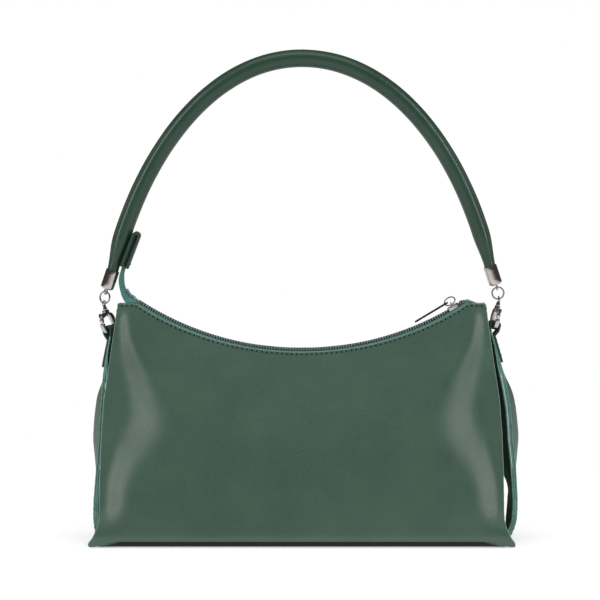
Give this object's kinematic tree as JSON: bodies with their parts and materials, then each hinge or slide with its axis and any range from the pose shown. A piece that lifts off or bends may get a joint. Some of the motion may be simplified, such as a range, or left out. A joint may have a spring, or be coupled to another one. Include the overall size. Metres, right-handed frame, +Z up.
{
  "type": "baguette bag",
  "caption": "Soft leather shoulder bag with a dipped zip top, inward-folding gussets and a tubular handle clipped to side straps by swivel clasps.",
  "frame": {"origin": "middle of the base's underside, on the surface the bag stands on", "axes": "+X to the right along the bag's length, -Y is the front, +Z up"},
  "size_m": [0.2989, 0.09, 0.3461],
  "materials": {
    "leather": "smooth semi-gloss bottle green with fine grain",
    "strap_leather": "thick green leather with raw teal cut edges",
    "zip_tape": "woven teal green tape",
    "zip_teeth": "dark blue-green nylon coil",
    "nickel": "polished dark nickel plate",
    "dark_nickel": "polished gunmetal plate",
    "spring_steel": "bare spring steel",
    "lining_cloth": "plain woven green cloth",
    "base_board": "grey stiffener board",
    "handle_core": "undyed filler cord"
  },
  "bodies": {
    "bag": {"front_panel": "leather", "back_panel": "leather", "base_panel": "leather", "base_board": "base_board", "left_gusset": "leather", "right_gusset": "leather", "lining": "lining_cloth", "slip_pocket": "lining_cloth", "front_zip_tape": "zip_tape", "back_zip_tape": "zip_tape", "front_zip_teeth": "zip_teeth", "back_zip_teeth": "zip_teeth", "zip_top_stop": "nickel", "zip_tail": "zip_tape", "zip_end_tab": "leather", "left_side_strap": "strap_leather", "right_side_strap": "strap_leather"},
    "slider": {"slider_body": "nickel"},
    "pull_ring": {"pull_ring": "nickel"},
    "pull_plate": {"pull_plate": "dark_nickel"},
    "right_swivel": {"right_swivel_eye": "nickel"},
    "right_clasp": {"right_clasp": "nickel", "right_gate_pin": "spring_steel", "right_gate_spring": "spring_steel"},
    "right_gate": {"right_clasp_gate": "nickel"},
    "right_ring": {"right_ring": "nickel"},
    "handle": {"handle_cover": "leather", "handle_core": "handle_core", "right_ferrule": "nickel", "left_ferrule": "nickel"},
    "left_ring": {"left_ring": "nickel"},
    "left_swivel": {"left_swivel_eye": "nickel"},
    "left_clasp": {"left_clasp": "nickel", "left_gate_pin": "spring_steel", "left_gate_spring": "spring_steel"},
    "left_gate": {"left_clasp_gate": "nickel"}
  },
  "joints": [
    {"name": "zip_travel", "type": "hinge", "parent": "bag", "child": "slider", "pos_m": [0, 0, 0.34479], "axis": [0, 1, 0], "range_deg": [0, 57]},
    {"name": "pull_ring_swing", "type": "hinge", "parent": "slider", "child": "pull_ring", "pos_m": [0.10567, 0, 0.16682], "axis": [0.8599, 0, 0.5105], "range_deg": [-18, 74]},
    {"name": "pull_plate_slide", "type": "hinge", "parent": "pull_ring", "child": "pull_plate", "pos_m": [0.10443, 0.00311, 0.16891], "axis": [0.4023, 0.6157, -0.6776], "range_deg": [0, 75]},
    {"name": "right_clasp_tilt", "type": "hinge", "parent": "bag", "child": "right_swivel", "pos_m": [0.1363, 0, 0.156], "axis": [0.9999, 0, 0.011], "range_deg": [-8, 8]},
    {"name": "right_clasp_turn", "type": "hinge", "parent": "right_swivel", "child": "right_clasp", "pos_m": [0.1363, 0, 0.156], "axis": [0.184, 0, 0.9829], "range_deg": [-5, 5]},
    {"name": "right_gate_swing", "type": "hinge", "parent": "right_clasp", "child": "right_gate", "pos_m": [0.13871, -0.00454, 0.16226], "axis": [0.9494, 0.2588, -0.1777], "range_deg": [0, 18], "stiffness_Nm_per_rad": 0.02},
    {"name": "right_ring_swing", "type": "hinge", "parent": "right_swivel", "child": "right_ring", "pos_m": [0.13906, 0, 0.17074], "axis": [0.9999, 0, 0.011], "range_deg": [-60, 60]},
    {"name": "handle_swing", "type": "hinge", "parent": "right_ring", "child": "handle", "pos_m": [0.1375, 0, 0.1789], "axis": [0.9999, 0, 0.011], "range_deg": [-60, 60]},
    {"name": "left_ring_swing", "type": "hinge", "parent": "handle", "child": "left_ring", "pos_m": [-0.138, 0, 0.17587], "axis": [0.9999, 0, 0.011], "range_deg": [-60, 60]},
    {"name": "left_clasp_swing", "type": "hinge", "parent": "left_ring", "child": "left_swivel", "pos_m": [-0.13938, 0, 0.16768], "axis": [0.9999, 0, 0.011], "range_deg": [-60, 60]},
    {"name": "left_clasp_turn", "type": "hinge", "parent": "left_swivel", "child": "left_clasp", "pos_m": [-0.1363, 0, 0.153], "axis": [-0.2055, 0, 0.9787], "range_deg": [-5, 5]},
    {"name": "left_gate_swing", "type": "hinge", "parent": "left_clasp", "child": "left_gate", "pos_m": [-0.14073, -0.00349, 0.15881], "axis": [0.7273, -0.6691, 0.1527], "range_deg": [0, 18], "stiffness_Nm_per_rad": 0.02}
  ],
  "couplings": [
    {"joint": "left_ring_swing", "follows": "handle_swing", "ratio": -1},
    {"joint": "left_clasp_swing", "follows": "right_ring_swing", "ratio": -1}
  ]
}
